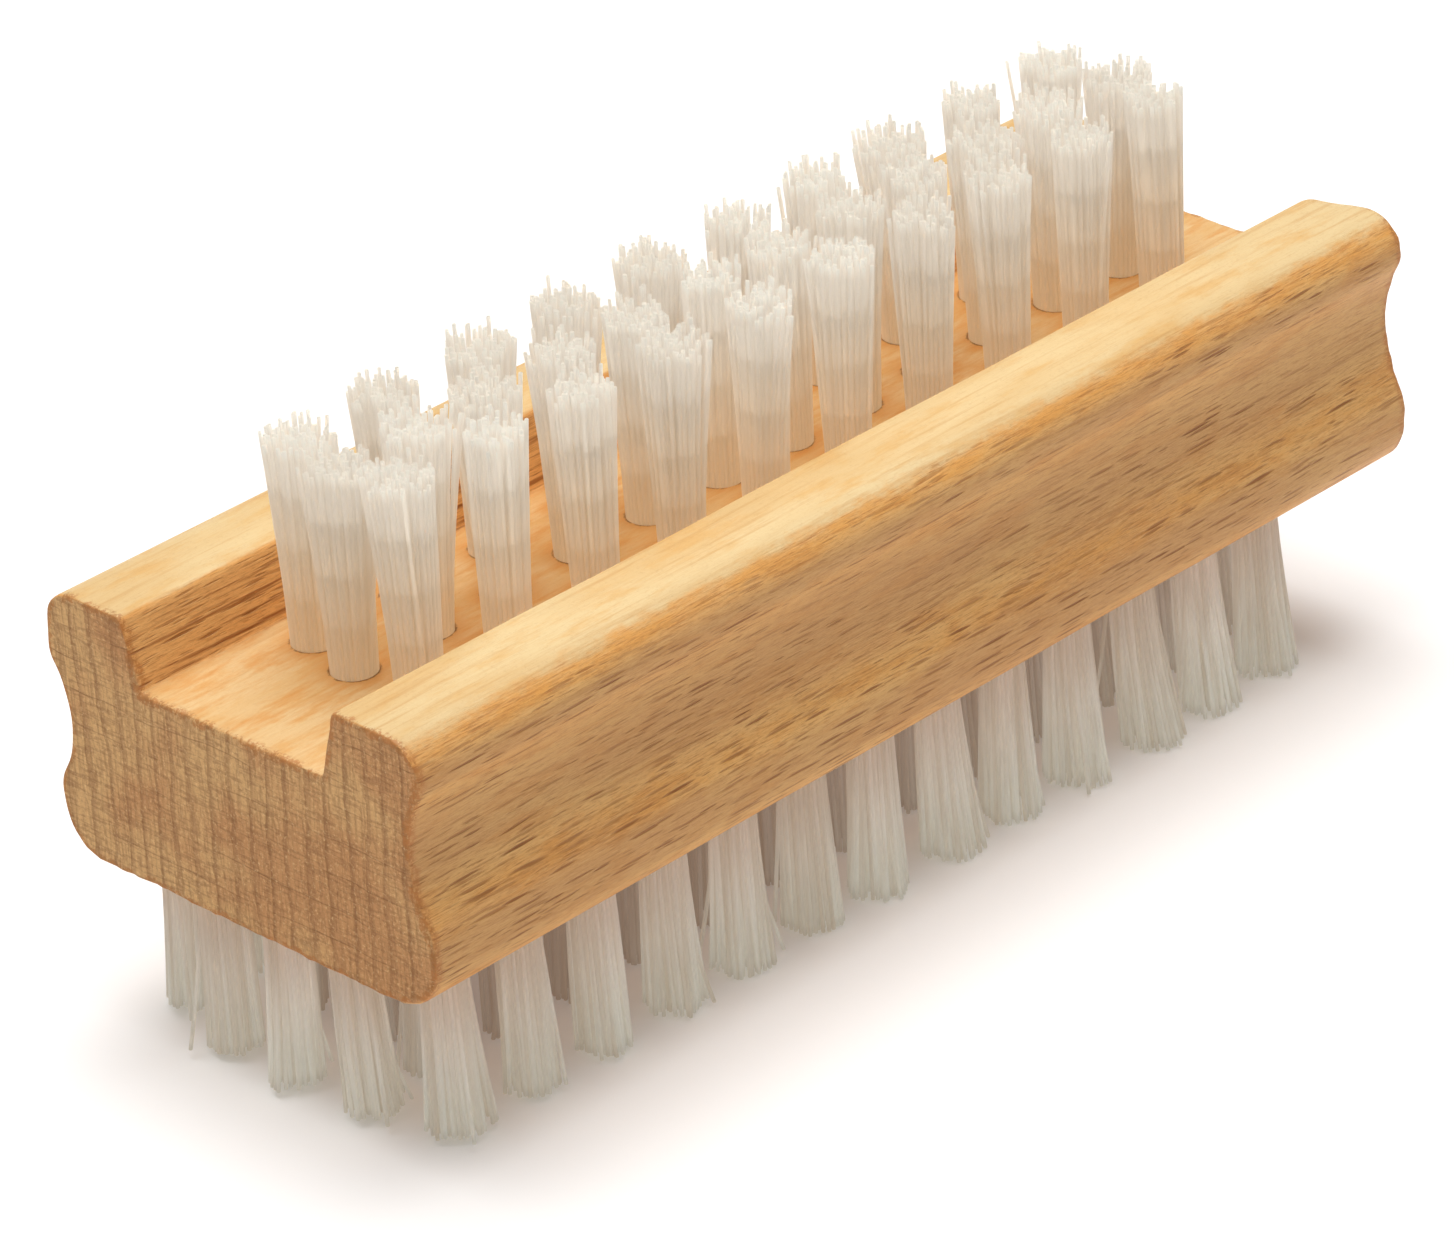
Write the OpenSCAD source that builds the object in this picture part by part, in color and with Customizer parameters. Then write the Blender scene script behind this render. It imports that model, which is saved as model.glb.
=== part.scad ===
// Double-sided nail brush.
// One moulded beech block carries tufts of white bristle on both sides: three rows in the channel
// between its two rails, and five rows under it, on which the brush stands. Each tuft is folded
// over a flat wire anchor and driven into a blind hole.
// X runs along the grain, Y across the block and Z up. The lower tips stand on z = 0.

/* [Block] */
// Length of the block along its grain
block_length = 105; // [100:1:140]
// Width of the block across its lower beads
block_width = 39; // [37:0.5:46]
// Height of the block from its underside to its rail tops
block_height = 21.7; // [20:0.1:26]
// How much each side stands back at the upper bead from the lower bead
upper_bead_inset = 0.3; // [0:0.1:1]
// Radius of the upper bead, which is the outer corner of each rail
upper_bead_radius = 3.3; // [2.5:0.1:4]
// Radius of the lower bead, which turns under into the underside
lower_bead_radius = 4.5; // [3.5:0.1:5.5]
// Radius of the hollow finger groove along each side, between the two beads
groove_radius = 9.5; // [8:0.5:14]
// Depth of the bevel that eases the straight edges of the end faces
end_bevel = 0.6; // [0.3:0.1:1.2]

/* [Channel] */
// Width of the channel between the rail tops
channel_opening = 21.8; // [20:0.2:24]
// Width of the flat floor of the channel
channel_floor_width = 18.8; // [17:0.2:19.8]
// Depth of the channel floor below the rail tops
channel_depth = 5.6; // [3:0.1:7]

/* [Holes and anchors] */
// Diameter of each drilled tuft hole
hole_diameter = 3.6; // [3.4:0.1:3.8]
// Depth of each tuft hole
hole_depth = 6.5; // [5:0.1:7]
// Thickness of the flat anchor wire
anchor_thickness = 0.3; // [0.2:0.05:0.5]
// Height of the flat anchor wire
anchor_height = 1.8; // [1.2:0.1:2.2]
// How far each end of an anchor bites into the wood
anchor_bite = 0.35; // [0.2:0.05:0.6]
// Thickness of the folded bristle under an anchor
fold_thickness = 0.8; // [0.5:0.1:1.2]

/* [Strands] */
// Height to which the bundled root of a tuft stands out of the wood
root_rise = 0.6; // [0.3:0.1:1.5]
// Side of a strand at its foot
strand_foot = 0.85; // [0.6:0.05:0.9]
// Side of a strand at its tip
strand_tip = 1; // [0.6:0.05:1.1]
// Unevenness of the flare from strand to strand
flare_variation = 0.15; // [0:0.05:0.2]
// Turn of each tuft from the one before, in degrees
tuft_turn = 27; // [0:1:60]

/* [Upper bristles] */
// Height of the upper tips above the channel floor
upper_bristle_length = 16.8; // [12:0.1:20]
// Unevenness of the upper trim
upper_trim_variation = 0.6; // [0:0.1:1]
// How far the upper strands lean outwards between foot and tip
upper_flare = 0.8; // [0.3:0.05:0.85]
// Strands in each upper tuft
upper_strands = 5; // [3:1:5]
// Tufts in each of the two outer rows
upper_outer_tufts = 10; // [6:1:12]
// Distance from the near end of the block to the first tuft of an outer row
upper_outer_near_margin = 13.2; // [8:0.1:16]
// Distance from the far end of the block to the last tuft of an outer row
upper_outer_far_margin = 12.2; // [8:0.1:16]
// Tufts in the middle row
upper_middle_tufts = 12; // [6:1:14]
// Distance from the near end of the block to the first tuft of the middle row
upper_middle_near_margin = 12; // [8:0.1:16]
// Distance from the far end of the block to the last tuft of the middle row
upper_middle_far_margin = 11; // [8:0.1:16]
// Distance from one upper row to the next
upper_row_gap = 5.4; // [5.4:0.1:6]

/* [Lower bristles] */
// Height of the underside above the lower tips
lower_bristle_length = 13.9; // [10:0.1:18]
// How far the lower strands lean outwards between foot and tip
lower_flare = 1.15; // [0.4:0.05:1.3]
// How far the tips of the edge rows are pressed out to the sides, at the near end of the block
lower_near_splay = 0.3; // [0:0.1:1.5]
// How far the tips of the edge rows are pressed out to the sides, at the far end of the block
lower_far_splay = 1.6; // [0:0.1:2.5]
// Strands in each lower tuft
lower_strands = 4; // [3:1:5]
// Tufts in each of the two edge rows
lower_edge_tufts = 13; // [8:1:14]
// Distance from the near end of the block to the first tuft of an edge row
lower_edge_near_margin = 5.8; // [5:0.1:9]
// Distance from the far end of the block to the last tuft of an edge row
lower_edge_far_margin = 11.6; // [6:0.1:14]
// Distance from the sides of the block to the edge rows
lower_side_margin = 5.9; // [5.5:0.1:7]
// Tufts in each of the three inner rows
lower_inner_tufts = 14; // [8:1:14]
// Distance from the near end of the block to the first tuft of an inner row
lower_inner_near_margin = 3.4; // [3.4:0.1:6]
// Distance from the far end of the block to the last tuft of an inner row
lower_inner_far_margin = 9.3; // [4:0.1:12]

/* [Hidden] */
$fn = 48;

wood_colour = "burlywood";
bristle_colour = "ivory";
wire_colour = "silver";

// Gap between a piece and its seat, and how far a cut runs past the surface that it opens
seat_clearance = 0.05;
overrun = 1;
// Depth to which the foot of a strand is sunk in the root of its tuft
strand_sink = 0.5;
// Circle on which the feet of a tuft's strands stand, as a share of the hole's diameter
foot_circle_share = 0.305;

up = 1;
down = -1;
underside_z = lower_bristle_length;
rail_top_z = underside_z + block_height;
floor_z = rail_top_z - channel_depth;
upper_tip_z = floor_z + upper_bristle_length;
root_radius = hole_diameter / 2 - seat_clearance;
foot_radius = foot_circle_share * hole_diameter;

// Centres of the two bead circles in the right half of the cross-section, as [y, z] above the
// underside, and of the groove circle, which touches both of them from outside
upper_bead = [block_width / 2 - upper_bead_inset - upper_bead_radius, block_height - upper_bead_radius];
lower_bead = [block_width / 2 - lower_bead_radius, lower_bead_radius];
bead_distance = norm(upper_bead - lower_bead);
bead_axis = (upper_bead - lower_bead) / bead_distance;
upper_reach = groove_radius + upper_bead_radius;
lower_reach = groove_radius + lower_bead_radius;
groove_along = (lower_reach ^ 2 - upper_reach ^ 2 + bead_distance ^ 2) / (2 * bead_distance);
groove_out = sqrt(lower_reach ^ 2 - groove_along ^ 2);
groove = lower_bead + groove_along * bead_axis + groove_out * [bead_axis[1], -bead_axis[0]];

// Places [x, y] of the tufts of one row, evenly spaced from the near margin to the far margin
function row_places(count, near_margin, far_margin, y) =
    let (pitch = (block_length - near_margin - far_margin) / (count - 1))
    [for (i = [0:count - 1]) [near_margin - block_length / 2 + i * pitch, y]];

function upper_outer_row(y) =
    row_places(upper_outer_tufts, upper_outer_near_margin, upper_outer_far_margin, y);
function lower_edge_row(y) =
    row_places(lower_edge_tufts, lower_edge_near_margin, lower_edge_far_margin, y);
function lower_inner_row(y) =
    row_places(lower_inner_tufts, lower_inner_near_margin, lower_inner_far_margin, y);

lower_edge_y = block_width / 2 - lower_side_margin;
upper_near_row = upper_outer_row(-upper_row_gap);
upper_middle_row =
    row_places(upper_middle_tufts, upper_middle_near_margin, upper_middle_far_margin, 0);
upper_far_row = upper_outer_row(upper_row_gap);
lower_near_edge_row = lower_edge_row(-lower_edge_y);
lower_near_inner_row = lower_inner_row(-lower_edge_y / 2);
lower_middle_row = lower_inner_row(0);
lower_far_inner_row = lower_inner_row(lower_edge_y / 2);
lower_far_edge_row = lower_edge_row(lower_edge_y);
upper_places = concat(upper_near_row, upper_middle_row, upper_far_row);
lower_places = concat(lower_near_edge_row, lower_near_inner_row, lower_middle_row,
    lower_far_inner_row, lower_far_edge_row);

// Right half of the cross-section: two beads joined by a neck, from which the groove is cut
module half_section() {
    difference() {
        union() {
            square([upper_bead[0], block_height]);
            translate(upper_bead) circle(r = upper_bead_radius);
            translate(lower_bead) circle(r = lower_bead_radius);
            polygon([[0, lower_bead[1]], lower_bead, groove, upper_bead, [0, upper_bead[1]]]);
        }
        translate(groove) circle(r = groove_radius);
    }
}

// The moulding's whole cross-section, with the flared channel cut into its top
module section() {
    channel_slope = (channel_opening - channel_floor_width) / 2 / channel_depth;
    cut_half_width = channel_opening / 2 + channel_slope * overrun;
    difference() {
        union() {
            half_section();
            mirror([1, 0]) half_section();
        }
        polygon([
            [-channel_floor_width / 2, block_height - channel_depth],
            [channel_floor_width / 2, block_height - channel_depth],
            [cut_half_width, block_height + overrun],
            [-cut_half_width, block_height + overrun],
        ]);
    }
}

// A square bar across each end of the block, turned on its edge, that bevels one straight edge
module end_edge_cut(z) {
    bar = sqrt(2) * end_bevel;
    for (side = [-1, 1])
        translate([side * block_length / 2, 0, z])
            rotate([0, 45, 0])
                cube([bar, block_width + overrun, bar], center = true);
}

// A flat wire anchor, lying across its hole above the fold of the tuft, with room round it
module anchor_wire(place, surface_z, side, room = 0) {
    middle = surface_z - side * (hole_depth - fold_thickness - anchor_height / 2);
    span = hole_diameter + 2 * anchor_bite;
    translate([place[0], place[1], middle])
        cube([span + 2 * room, anchor_thickness + 2 * room, anchor_height + 2 * room], center = true);
}

// Blind holes with the slits that the anchors bite, drilled into a surface
module drilled(places, surface_z, side) {
    for (place = places) {
        translate([place[0], place[1], surface_z])
            mirror([0, 0, side == up ? 1 : 0])
                translate([0, 0, -overrun])
                    cylinder(d = hole_diameter, h = hole_depth + overrun);
        anchor_wire(place, surface_z, side, seat_clearance);
    }
}

module block() {
    color(wood_colour)
        difference() {
            translate([-block_length / 2, 0, underside_z])
                rotate([90, 0, 90])
                    linear_extrude(block_length) section();
            end_edge_cut(rail_top_z);
            end_edge_cut(underside_z);
            drilled(upper_places, floor_z, up);
            drilled(lower_places, underside_z, down);
        }
}

// The four corners of a strand's square section, centred on a point and turned by an angle
function corners(centre, size, angle) =
    [for (k = [0:3]) centre + size / sqrt(2) * [cos(angle + 90 * k), sin(angle + 90 * k), 0]];

// How far the tips of a tuft are pressed out to its side of the block, more so towards the far end.
// The edge rows lean by the whole splay [near, far], and the rows between them by less
function splay_out(place, splay) =
    let (along_share = (place[0] + block_length / 2) / block_length)
    place[1] / lower_edge_y * (splay[0] + along_share * (splay[1] - splay[0]));

// The eight corners of one strand, from its foot in the root to its tip, leaning out from the
// middle of its tuft and with its tip moved sideways by a splay
function strand_points(place, foot_z, tip_z, angle, lean, sideways) =
    let (
        out = [cos(angle), sin(angle), 0],
        foot = [place[0], place[1], foot_z] + foot_radius * out,
        tip = [place[0], place[1] + sideways, tip_z] + (foot_radius + lean) * out
    )
    concat(corners(foot, strand_foot, angle + 45), corners(tip, strand_tip, angle + 45));

// The twelve triangles of one strand, turned round for a strand that hangs down
function strand_faces(first, side) =
    let (
        walls = [for (k = [0:3]) let (n = (k + 1) % 4) each [[k, k + 4, n], [n, k + 4, n + 4]]],
        ends = [[0, 1, 2], [0, 2, 3], [4, 6, 5], [4, 7, 6]]
    )
    [for (f = concat(walls, ends)) [for (k = side == up ? [0, 1, 2] : [0, 2, 1]) first + f[k]]];

// All the strands of a row as one polyhedron: a ring of strands to each tuft
module strands(places, surface_z, tip_z, side, per_tuft, flare, splay, trim, seed) {
    count = len(places) * per_tuft;
    leans = rands(-1, 1, count, seed);
    trims = rands(-1, 0, count, seed + 1);
    foot_z = surface_z + side * (root_rise - strand_sink);
    points = [
        for (i = [0:len(places) - 1], j = [0:per_tuft - 1])
            let (
                k = i * per_tuft + j,
                angle = i * tuft_turn + j * 360 / per_tuft,
                lean = flare + flare_variation * leans[k],
                end_z = tip_z + side * trim * trims[k]
            )
            each strand_points(places[i], foot_z, end_z, angle, lean, splay_out(places[i], splay))
    ];
    polyhedron(points, [for (k = [0:count - 1]) each strand_faces(8 * k, side)]);
}

// The bundled root of one tuft, which fills its hole round the anchor
module root(place, surface_z, side) {
    bottom = surface_z - side * (hole_depth - seat_clearance);
    difference() {
        translate([place[0], place[1], bottom])
            mirror([0, 0, side == up ? 0 : 1])
                cylinder(r = root_radius, h = hole_depth - seat_clearance + root_rise);
        anchor_wire(place, surface_z, side, seat_clearance);
    }
}

module upper_tuft_row(places, seed) {
    color(bristle_colour) {
        for (place = places)
            root(place, floor_z, up);
        strands(places, floor_z, upper_tip_z, up, upper_strands, upper_flare, [0, 0],
            upper_trim_variation, seed);
    }
}

// The lower tips are trimmed flat, because the brush stands on them
module lower_tuft_row(places, seed) {
    color(bristle_colour) {
        for (place = places)
            root(place, underside_z, down);
        strands(places, underside_z, 0, down, lower_strands, lower_flare,
            [lower_near_splay, lower_far_splay], 0, seed);
    }
}

module upper_tufts_near() { upper_tuft_row(upper_near_row, 11); }
module upper_tufts_middle() { upper_tuft_row(upper_middle_row, 21); }
module upper_tufts_far() { upper_tuft_row(upper_far_row, 31); }
module lower_tufts_near_edge() { lower_tuft_row(lower_near_edge_row, 41); }
module lower_tufts_near_inner() { lower_tuft_row(lower_near_inner_row, 51); }
module lower_tufts_middle() { lower_tuft_row(lower_middle_row, 61); }
module lower_tufts_far_inner() { lower_tuft_row(lower_far_inner_row, 71); }
module lower_tufts_far_edge() { lower_tuft_row(lower_far_edge_row, 81); }

module upper_anchors() {
    color(wire_colour)
        for (place = upper_places)
            anchor_wire(place, floor_z, up);
}

module lower_anchors() {
    color(wire_colour)
        for (place = lower_places)
            anchor_wire(place, underside_z, down);
}

block();
upper_tufts_near();
upper_tufts_middle();
upper_tufts_far();
lower_tufts_near_edge();
lower_tufts_near_inner();
lower_tufts_middle();
lower_tufts_far_inner();
lower_tufts_far_edge();
upper_anchors();
lower_anchors();
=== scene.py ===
import math

import bpy
import numpy as np
from mathutils import Matrix, Vector


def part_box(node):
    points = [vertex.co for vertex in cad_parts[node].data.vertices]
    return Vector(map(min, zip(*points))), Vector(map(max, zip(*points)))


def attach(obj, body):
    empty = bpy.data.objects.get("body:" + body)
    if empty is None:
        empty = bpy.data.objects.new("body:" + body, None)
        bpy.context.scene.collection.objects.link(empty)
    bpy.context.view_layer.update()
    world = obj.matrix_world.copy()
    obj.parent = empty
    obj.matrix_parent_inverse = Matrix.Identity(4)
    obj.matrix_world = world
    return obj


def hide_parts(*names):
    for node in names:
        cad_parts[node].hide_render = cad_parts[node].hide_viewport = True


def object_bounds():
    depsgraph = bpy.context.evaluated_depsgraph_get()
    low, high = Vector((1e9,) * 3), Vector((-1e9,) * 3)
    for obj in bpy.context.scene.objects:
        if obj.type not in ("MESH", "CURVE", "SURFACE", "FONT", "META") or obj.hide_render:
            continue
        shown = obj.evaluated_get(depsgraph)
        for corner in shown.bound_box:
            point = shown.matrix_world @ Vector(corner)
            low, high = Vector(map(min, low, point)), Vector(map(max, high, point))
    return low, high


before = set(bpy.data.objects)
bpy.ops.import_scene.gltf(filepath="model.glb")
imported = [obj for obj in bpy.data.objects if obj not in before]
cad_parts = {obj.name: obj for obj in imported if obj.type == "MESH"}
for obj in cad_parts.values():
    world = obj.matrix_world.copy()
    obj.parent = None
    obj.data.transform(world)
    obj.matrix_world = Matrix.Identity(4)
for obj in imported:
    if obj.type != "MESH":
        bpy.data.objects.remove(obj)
cad_low, cad_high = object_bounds()

MM = 0.001

# The block's section, in millimetres, as the brush is built
NEAR_BEAD_INSET = 0.2
FAR_BEAD_INSET = 0.15
NEAR_BEAD_RADIUS = 3.0
FAR_BEAD_RADIUS = 3.3
NEAR_BEAD_FACE = 0.0
FAR_BEAD_FACE = 1.2
NEAR_LOWER_RADIUS = 4.4
FAR_LOWER_RADIUS = 3.8
LOWER_BEAD_FACE = 0.9
NEAR_GROOVE_RADIUS = 10.3
FAR_GROOVE_RADIUS = 8.8
CHANNEL_OPENING = 21.8
CHANNEL_FLOOR_WIDTH = 18.8
CHANNEL_DEPTH = 5.6
RAIL_EDGE_RADIUS = 0.7
FLOOR_CORNER_RADIUS = 0.35
HOLE_DIAMETER = 3.6
HOLE_DEPTH = 6.5

# The rows of tufts, in millimetres: how many, and the places of their first and last tuft from the ends
UPPER_ROW_GAP = 5.4
UPPER_OUTER = (10, 13.2, 12.2)
UPPER_MIDDLE = (12, 12.0, 11.0)
LOWER_SIDE_MARGIN = 5.9
LOWER_EDGE = (13, 5.8, 11.6)
LOWER_INNER = (14, 3.4, 9.3)

block_low, block_high = (np.array(corner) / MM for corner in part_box("block"))
LENGTH = block_high[0] - block_low[0]
WIDTH = block_high[1] - block_low[1]
HEIGHT = block_high[2] - block_low[2]
UNDERSIDE_Z = block_low[2]
RAIL_TOP_Z = block_high[2]
FLOOR_Z = RAIL_TOP_Z - CHANNEL_DEPTH
UPPER_TIP_Z = cad_high[2] / MM


def row_places(row, y):
    """Places of a row's tufts, [x, y], evenly spaced between the two end margins."""
    count, near_margin, far_margin = row
    x = np.linspace(near_margin - LENGTH / 2, LENGTH / 2 - far_margin, count)
    return np.column_stack([x, np.full(count, float(y))])


LOWER_EDGE_Y = WIDTH / 2 - LOWER_SIDE_MARGIN
UPPER_ROWS = {
    "upper_tufts_near": row_places(UPPER_OUTER, -UPPER_ROW_GAP),
    "upper_tufts_middle": row_places(UPPER_MIDDLE, 0),
    "upper_tufts_far": row_places(UPPER_OUTER, UPPER_ROW_GAP),
}
LOWER_ROWS = {
    "lower_tufts_near_edge": row_places(LOWER_EDGE, -LOWER_EDGE_Y),
    "lower_tufts_near_inner": row_places(LOWER_INNER, -LOWER_EDGE_Y / 2),
    "lower_tufts_middle": row_places(LOWER_INNER, 0),
    "lower_tufts_far_inner": row_places(LOWER_INNER, LOWER_EDGE_Y / 2),
    "lower_tufts_far_edge": row_places(LOWER_EDGE, LOWER_EDGE_Y),
}


def new_mesh(name, points, faces_by_size):
    """A mesh from points in millimetres and arrays of faces, one array for each number of corners."""
    mesh = bpy.data.meshes.new(name)
    loops = np.concatenate([faces.ravel() for faces in faces_by_size]).astype(np.int32)
    sizes = np.concatenate([np.full(len(faces), faces.shape[1]) for faces in faces_by_size])
    starts = np.concatenate([[0], np.cumsum(sizes)[:-1]]).astype(np.int32)
    mesh.vertices.add(len(points))
    mesh.vertices.foreach_set("co", (np.asarray(points) * MM).astype(np.float32).ravel())
    mesh.loops.add(len(loops))
    mesh.loops.foreach_set("vertex_index", loops)
    mesh.polygons.add(len(sizes))
    mesh.polygons.foreach_set("loop_start", starts)
    mesh.polygons.foreach_set("use_smooth", np.ones(len(sizes), bool))
    mesh.update(calc_edges=True)
    mesh.validate()
    return mesh


def new_piece(name, mesh, material, body="root"):
    """An object of that mesh in the scene, finished in a material and riding on a body."""
    piece = bpy.data.objects.new(name, mesh)
    bpy.context.scene.collection.objects.link(piece)
    mesh.materials.clear()
    mesh.materials.append(material)
    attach(piece, body)
    return piece


def waves(points, wavelengths, seed):
    """A smooth uneven field over points, mostly from -1 to 1: cosine waves that run in random directions,
    each with a random phase, added up and divided by the square root of their number."""
    rng = np.random.default_rng(seed)
    points = np.asarray(points, float)
    total = np.zeros(points.shape[:-1])
    for wavelength in wavelengths:
        direction = rng.normal(size=points.shape[-1])
        direction /= np.linalg.norm(direction)
        total += np.cos(points @ direction * 2 * math.pi / wavelength + rng.uniform(0, 2 * math.pi))
    return total / math.sqrt(len(wavelengths))


# Camera

PHOTO_WIDTH = 1454
SENSOR_MM = 36
CAMERA_PLACE = (-328.734, -336.242, 270.396)
CAMERA_HEADING = 45.957
CAMERA_DIP = 28.326
CAMERA_ROLL = -3.842
FOCAL_PIXELS = 7104.5


def make_camera():
    """A long lens at the photograph's viewpoint: heading from +X towards +Y, dip below the horizon."""
    heading, dip, roll = (math.radians(v) for v in (CAMERA_HEADING, CAMERA_DIP, CAMERA_ROLL))
    forward = Vector((
        math.cos(dip) * math.cos(heading),
        math.cos(dip) * math.sin(heading),
        -math.sin(dip),
    ))
    level = forward.cross(Vector((0, 0, 1))).normalized()
    upright = level.cross(forward)
    right = math.cos(roll) * level + math.sin(roll) * upright
    up = math.cos(roll) * upright - math.sin(roll) * level
    data = bpy.data.cameras.new("camera")
    data.sensor_width = SENSOR_MM
    data.lens = FOCAL_PIXELS / PHOTO_WIDTH * SENSOR_MM
    data.clip_start = 0.01
    data.clip_end = 20
    camera = bpy.data.objects.new("camera", data)
    turn = Matrix((right, up, -forward)).transposed().to_4x4()
    camera.matrix_world = Matrix.Translation(Vector(CAMERA_PLACE) * MM) @ turn
    bpy.context.scene.collection.objects.link(camera)
    bpy.context.scene.camera = camera


make_camera()


# Shader nodes

class Shader:
    """A material's node tree, with one short method for each kind of node that the finishes use."""

    def __init__(self, name):
        self.material = bpy.data.materials.new(name)
        self.material.use_nodes = True
        self.tree = self.material.node_tree
        self.tree.nodes.clear()
        self.output = self.tree.nodes.new("ShaderNodeOutputMaterial")

    def join(self, value, socket):
        """Links a socket to a socket, or sets the socket to a plain value."""
        if isinstance(value, bpy.types.NodeSocket):
            self.tree.links.new(value, socket)
        else:
            socket.default_value = value

    def node(self, kind, **settings):
        node = self.tree.nodes.new(kind)
        for key, value in settings.items():
            setattr(node, key, value)
        return node

    def place(self):
        return self.node("ShaderNodeTexCoord").outputs["Object"]

    def mapped(self, vector, scale, turn=(0, 0, 0)):
        """A vector stretched by a scale on each axis, after a turn in radians."""
        node = self.node("ShaderNodeMapping")
        self.join(vector, node.inputs["Vector"])
        node.inputs["Scale"].default_value = scale
        node.inputs["Rotation"].default_value = turn
        return node.outputs["Vector"]

    def noise(self, vector, scale=1.0, detail=2.0, roughness=0.5, distortion=0.0):
        """Cloudy noise from 0 to 1, mostly near 0.5."""
        node = self.node("ShaderNodeTexNoise")
        self.join(vector, node.inputs["Vector"])
        node.inputs["Scale"].default_value = scale
        node.inputs["Detail"].default_value = detail
        node.inputs["Roughness"].default_value = roughness
        node.inputs["Distortion"].default_value = distortion
        return node.outputs["Fac"]

    def cells(self, vector):
        """Cells scattered over a plane, each with a place and chance numbers of its own."""
        node = self.node("ShaderNodeTexVoronoi", voronoi_dimensions="2D")
        self.join(vector, node.inputs["Vector"])
        node.inputs["Scale"].default_value = 1.0
        return node

    def math(self, kind, *values):
        node = self.node("ShaderNodeMath", operation=kind)
        for value, socket in zip(values, node.inputs):
            self.join(value, socket)
        return node.outputs[0]

    def vector_math(self, kind, *values):
        node = self.node("ShaderNodeVectorMath", operation=kind)
        for value, socket in zip(values, node.inputs):
            self.join(value, socket)
        return node.outputs[0]

    def ramp(self, value, low, high, to_low=0.0, to_high=1.0, smooth=True):
        """Maps low..high to to_low..to_high, clamped."""
        node = self.node("ShaderNodeMapRange")
        node.interpolation_type = "SMOOTHSTEP" if smooth else "LINEAR"
        for socket, given in zip(node.inputs, (value, low, high, to_low, to_high)):
            self.join(given, socket)
        return node.outputs[0]

    def blend(self, share, first, second):
        """The first colour, with a share of it replaced by the second."""
        node = self.node("ShaderNodeMix", data_type="RGBA", clamp_result=True)
        self.join(share, node.inputs[0])
        self.join(first, node.inputs[6])
        self.join(second, node.inputs[7])
        return node.outputs[2]

    def split(self, vector):
        node = self.node("ShaderNodeSeparateXYZ")
        self.join(vector, node.inputs[0])
        return node.outputs

    def merge(self, x, y, z):
        node = self.node("ShaderNodeCombineXYZ")
        for value, socket in zip((x, y, z), node.inputs):
            self.join(value, socket)
        return node.outputs[0]

    def bump(self, height, distance, strength):
        node = self.node("ShaderNodeBump")
        self.join(height, node.inputs["Height"])
        node.inputs["Distance"].default_value = distance
        node.inputs["Strength"].default_value = strength
        return node.outputs[0]

    def finish(self, **sockets):
        """The surface shader, with its sockets set or linked by name, an underscore for a space."""
        shader = self.node("ShaderNodeBsdfPrincipled")
        for key, value in sockets.items():
            self.join(value, shader.inputs[key.replace("_", " ")])
        self.tree.links.new(shader.outputs[0], self.output.inputs["Surface"])
        return self.material


def colour(red, green, blue):
    """A picture colour of 0 to 255 a channel as linear light."""
    share = np.array([red, green, blue]) / 255
    linear = np.where(share <= 0.04045, share / 12.92, ((share + 0.055) / 1.055) ** 2.4)
    return (*(float(v) for v in linear), 1.0)


# Colours of the wood, and the height of its grain's relief in millimetres
# The tops' pale tones are partly a painted highlight, and the side shade and rim colours are painted shade
TOP_PALE = colour(225, 199, 149)
TOP_HONEY = colour(217, 181, 124)
TOP_AMBER = colour(216, 164, 90)
TOP_STREAK = colour(200, 148, 84)
FLOOR_AMBER = colour(212, 150, 78)
SIDE_TAN = colour(231, 180, 111)
SIDE_ROSE = colour(221, 165, 101)
SIDE_PALE = colour(238, 194, 128)
SIDE_AMBER = colour(216, 148, 72)
SIDE_STREAK = colour(168, 110, 56)
INNER_WALL = colour(232, 177, 110)
INNER_STREAK = colour(146, 84, 38)
DASH = colour(138, 80, 30)
BURNT = colour(184, 116, 58)
END_LIGHT = colour(216, 170, 113)
END_RED = colour(200, 146, 94)
END_DARK = colour(128, 80, 40)
END_SPECK = colour(244, 206, 148)
RIM_SHADOW = colour(92, 62, 36)
SIDE_SHADE = colour(184, 136, 80)
FRINGE = colour(226, 162, 84)
GRAIN_RELIEF = 0.14


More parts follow.
